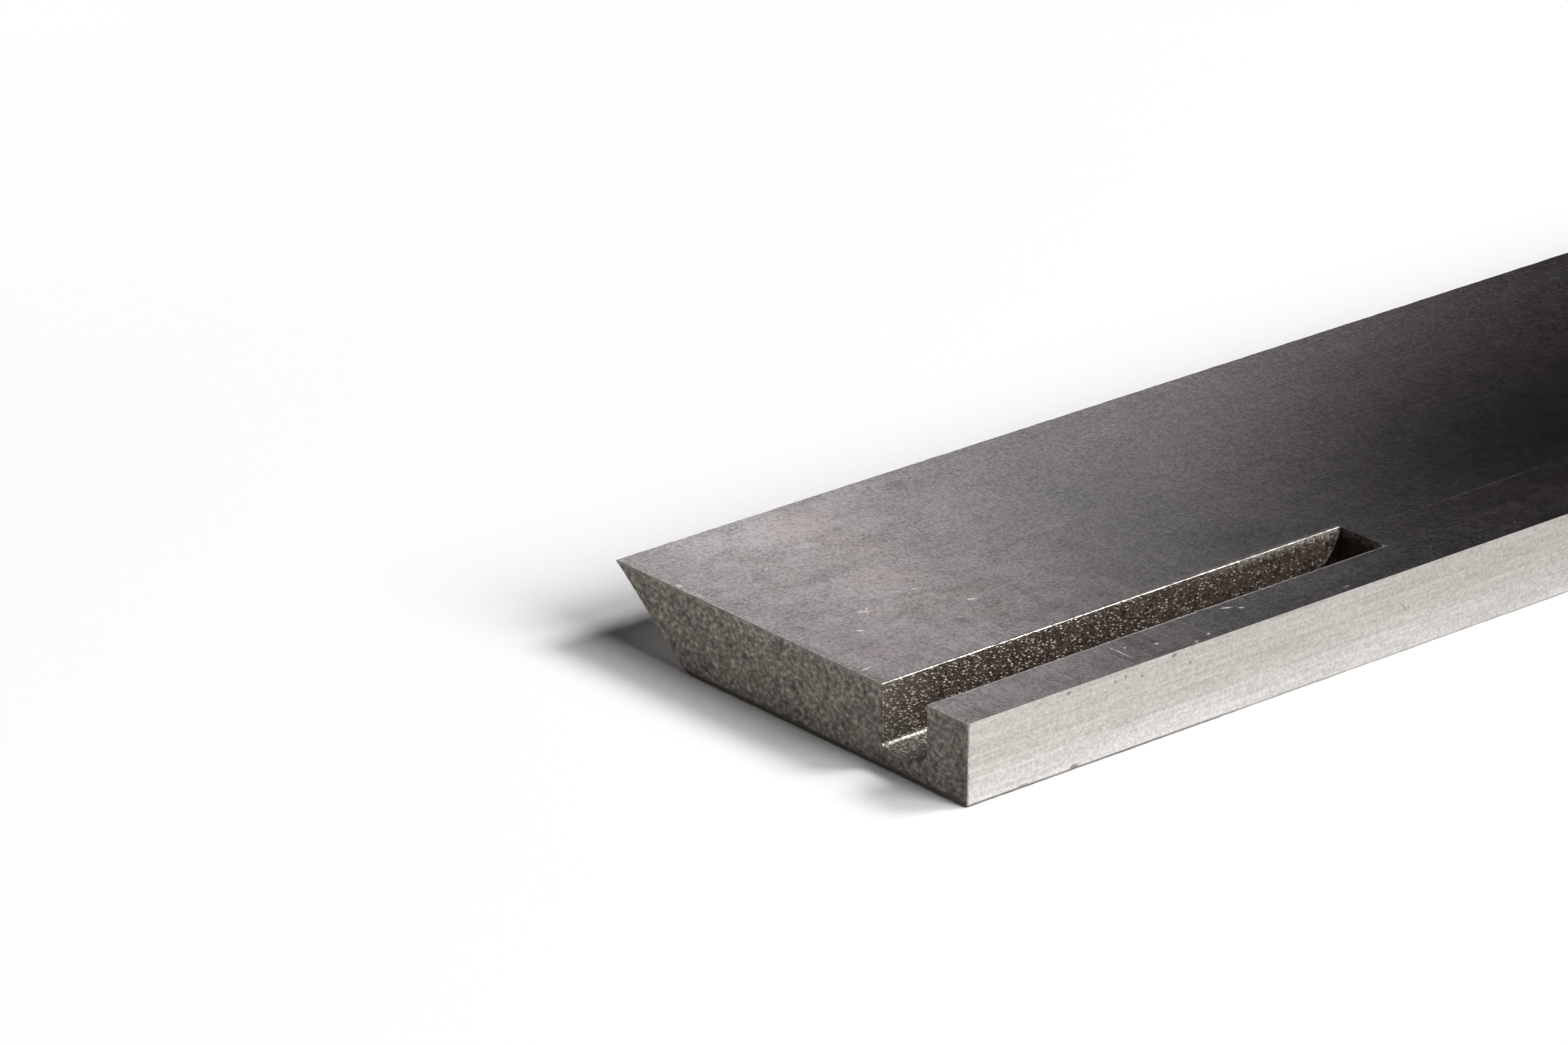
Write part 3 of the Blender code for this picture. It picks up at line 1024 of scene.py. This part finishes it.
# The slot's rolled lip: burnished, and broken into beads
lipLook = {
    "colour": (0.83, 0.80, 0.76),
    "dull": (0.29, 0.26, 0.225),
    "tones": [
        (0.0, 0.88), (0.0045, 0.95), (0.0075, 1.0), (0.0105, 0.84), (0.0165, 0.88), (0.0195, 0.62),
        (0.023, 0.5),
    ],
    "roughness": (0.1, 0.37),  # what the grain adds, and the least
    "noises": {"beads": ((4600, 900, 900), 3, 2), "grain": ((9000, 9000, 9000), 2, 5)},
    "beads": (0.1, 0.7),
    "grain": 0.4,
    "bump": 0.000004,
}


def makeLipMaterial():
    look = lipLook
    material, place, gaps, ramp, tint = startMaterial("rolled_lip", look)
    beads, grain = noises(place, look)
    colour = tint(look["dull"], ramp(beads, "beads"), "colour")
    colour = scaled(colour, levelAlong(gaps["endGap"], look["tones"]))
    colour = toned(colour, [(grain, look["grain"])])
    rough = timesPlus(grain, *look["roughness"])
    return endMaterial(material, colour, rough, maths("ADD", beads, grain), look["bump"])


# Underside and bevel: ground like the face, lengthwise and across
groundLook = {
    "colour": (0.58, 0.555, 0.548),
    "worn": (0.80, 0.77, 0.74),
    "roughness": (0.08, 0.23),  # what the clouds add, and the least
    "noises": {"clouds": ((150, 260, 260), 4, 2, 0.7), "grain": ((9000, 9000, 9000), 2)},
    "clouds": 0.18,
    "grain": 0.24,
    "wear": {"Width": 0.0002, "Breakup": 3000},
    "wornShare": 0.4,
    "layRise": 2.0,
    "bump": 0.000001,
    "underLay": ((80, 4200, 4200), 0.14),  # cycles per metre along each axis, and amount
    "bevelLay": ((5200, 130, 130), 0.22),
}


def makeGroundMaterial(name, stretch, amount):
    look = groundLook
    material, place, gaps, _, tint = startMaterial(name, look)
    clouds, grain = noises(place, look)
    lay = useGroup(grainGroup, Vector=place, Stretch=stretch, Detail=3)
    terms = [(lay, amount), (clouds, look["clouds"]), (grain, look["grain"])]
    worn = useGroup(wearGroup, Vector=place, Gap=gaps["rimGap"], **look["wear"])
    colour = tint(toned(look["colour"], terms), product(worn, look["wornShare"]), "worn")
    rough = timesPlus(clouds, *look["roughness"])
    return endMaterial(material, colour, rough, timesPlus(lay, look["layRise"], grain), look["bump"])


for material in (
    makeFaceMaterial("slotted_face_steel", faceLook),
    makeFaceMaterial("rail_steel", railLook),
    makeSlotMaterial(),
    makeBackMaterial(),
    makeGroundMaterial("underside_steel", *groundLook["underLay"]),
    makeGroundMaterial("bevel_steel", *groundLook["bevelLay"]),
    makeEndMaterial(),
    makeLipMaterial(),
):
    groundKnife.data.materials.append(material)
print("knife: materials", len(groundKnife.data.materials))

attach(groundKnife, "root")
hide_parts("planer_knife")

# Studio: a pale floor, two soft lamps in front of the knife and a card behind it. A lamp's
# share is the part of the floor's light that comes from it; its angle is half its breadth.
studio = {
    "floorSize": 12.0,
    "floorDrop": 0.00001,  # so that it doesn't share the underside's plane
    "floorColour": (1.0, 1.0, 1.0),
    "whiteFrom": (0.018, 0.075),  # where the floor starts and ends to turn plain white
    "lampDistance": 2.0,
    "lampAim": 0.015,  # from the knife's near end
    "lamps": {
        # The broad lamp isn't seen in gloss, or the top face flashes white from behind
        "broad_light": {"bearing": -75.0, "height": 32.0, "angle": 19.0, "share": 0.56, "seen": False},
        "key_light": {"bearing": -30.0, "height": 49.0, "angle": 10.0, "share": 0.44, "seen": True},
    },
    "worldFill": 0.012,
    "cardBehind": 0.050,
    "cardSize": (2.0, 1.2),
    "cardBright": 0.577,
    "cardDark": 0.0097,
    "cardLift": 0.001,
    "cardSlant": (66.0, 0.0, 59.8),  # how fast slant grows along each axis
    "cardOffset": 1.96,
    "cardFall": 12.18,
}


# A flat sheet: corner + u * sideA + v * sideB for u and v from 0 to 1
def gridObject(name, corner, sideA, sideB, cells):
    u, v = np.meshgrid(np.linspace(0, 1, cells + 1), np.linspace(0, 1, cells + 1), indexing="ij")
    points = np.array(corner) + u.reshape(-1, 1) * np.array(sideA) + v.reshape(-1, 1) * np.array(sideB)
    a, b = np.meshgrid(np.arange(cells), np.arange(cells), indexing="ij")
    first = a * (cells + 1) + b
    quads = np.stack([first, first + cells + 1, first + cells + 2, first + 1], -1).reshape(-1, 4)
    mesh = bpy.data.meshes.new(name)
    mesh.from_pydata(points.tolist(), [], quads.tolist())
    piece = bpy.data.objects.new(name, mesh)
    bpy.context.scene.collection.objects.link(piece)
    return piece


# 1 for rays from the camera, from gloss and through glass, 0 for the rays that light things
def seenRays(tree):
    path = put(tree, "ShaderNodeLightPath")
    seen = most(path.outputs["Is Camera Ray"], path.outputs["Is Glossy Ray"])
    return most(seen, path.outputs["Is Transmission Ray"])


# White floor. Away from the knife it is seen as plain white, whatever light falls there
def makeFloor():
    size = studio["floorSize"]
    corner = (-size / 2, -size / 2, -studio["floorDrop"])
    floor = gridObject("floor", corner, (size, 0, 0), (0, size, 0), 8)
    material, tree = newMaterial("pale_floor")
    # Distance from the knife's outline: the length of what |place| has beyond half its size
    place = put(tree, "ShaderNodeTexCoord").outputs["Object"]
    past = vectorMaths("SUBTRACT", vectorMaths("ABSOLUTE", place)[0], (halfLength, edgeY, 0.0))[0]
    away = vectorMaths("LENGTH", vectorMaths("MAXIMUM", past, (0.0, 0.0, 0.0))[0])["Value"]
    white = remap(away, *studio["whiteFrom"], smooth=True)
    diffuse = put(tree, "ShaderNodeBsdfDiffuse", Color=studio["floorColour"])
    plain = put(tree, "ShaderNodeEmission", Strength=1.0)
    shown = product(white, seenRays(tree))
    mixed = put(tree, "ShaderNodeMixShader", in0=shown, in1=diffuse.outputs[0], in2=plain.outputs[0])
    put(tree, "ShaderNodeOutputMaterial", Surface=mixed.outputs[0])
    floor.data.materials.append(material)


# A soft-edged card seen only in reflections, bright at its lower left and dark to the upper
# right: bright * (1 + e^(slant - offset))^-fall + dark, where slant grows along one direction
def makeCard():
    wide, high = studio["cardSize"]
    corner = (-wide / 2, studio["cardBehind"], studio["cardLift"])
    card = gridObject("soft_card", corner, (wide, 0, 0), (0, 0, high), 4)
    material, tree = newMaterial("soft_card_light")
    place = put(tree, "ShaderNodeTexCoord").outputs["Object"]
    slant = vectorMaths("DOT_PRODUCT", place, studio["cardSlant"])["Value"]
    shifted = maths("SUBTRACT", slant, studio["cardOffset"])
    grown = maths("ADD", maths("EXPONENT", shifted), 1.0)
    level = maths("POWER", grown, -studio["cardFall"])
    level = timesPlus(level, studio["cardBright"], studio["cardDark"])
    glow = put(tree, "ShaderNodeEmission", Strength=level)
    put(tree, "ShaderNodeOutputMaterial", Surface=glow.outputs[0])
    card.data.materials.append(material)
    for ray in ("camera", "diffuse", "shadow", "transmission", "volume_scatter"):
        setattr(card, "visible_" + ray, False)


# A disk that gives the floor where it points that share of white: its power is
# pi^2 * distance^2 * share / (sin(height) * cos(angle)^2)
def makeLamp(name, bearing, height, angle, share, seen):
    distance = studio["lampDistance"]
    turn, rise, breadth = math.radians(bearing), math.radians(height), math.radians(angle)
    way = Vector((math.cos(rise) * math.cos(turn), math.cos(rise) * math.sin(turn), math.sin(rise)))
    light = bpy.data.lights.new(name, "AREA")
    light.shape = "DISK"
    light.size = 2 * distance * math.tan(breadth)
    light.energy = math.pi**2 * distance**2 * share / math.sin(rise) / math.cos(breadth) ** 2
    lamp = bpy.data.objects.new(name, light)
    lamp.location = Vector((-halfLength + studio["lampAim"], 0.0, 0.0)) + way * distance
    lamp.rotation_euler = way.to_track_quat("Z", "Y").to_euler()
    lamp.visible_camera = False
    lamp.visible_glossy = seen
    bpy.context.scene.collection.objects.link(lamp)


def makeWorld():
    world = bpy.data.worlds.new("pale_studio")
    bpy.context.scene.world = world
    world.use_nodes = True
    tree = world.node_tree
    tree.nodes.clear()
    level = remap(seenRays(tree), 0.0, 1.0, studio["worldFill"], 1.0)
    back = put(tree, "ShaderNodeBackground", Strength=level)
    put(tree, "ShaderNodeOutputWorld", Surface=back.outputs[0])


makeFloor()
makeCard()
for lampName, lamp in studio["lamps"].items():
    makeLamp(lampName, **lamp)
makeWorld()
print("studio: floor, card and", len(studio["lamps"]), "lamps")

# Camera, solved from the photograph's edges
view = {
    "place": (-0.272252, -0.198951, 0.116507),
    "turn": (67.44117, -0.19449, -40.50926),  # degrees
    "lens": 186.53,
    "sensor": 36.0,
    "clip": (0.01, 50.0),
}


def makeCamera():
    data = bpy.data.cameras.new("photo_camera")
    data.lens = view["lens"]
    data.sensor_width = view["sensor"]
    data.clip_start, data.clip_end = view["clip"]
    camera = bpy.data.objects.new("photo_camera", data)
    camera.location = view["place"]
    camera.rotation_euler = [math.radians(a) for a in view["turn"]]
    bpy.context.scene.collection.objects.link(camera)
    bpy.context.scene.camera = camera


makeCamera()
bpy.context.scene.view_settings.view_transform = "Standard"
print("camera: placed")
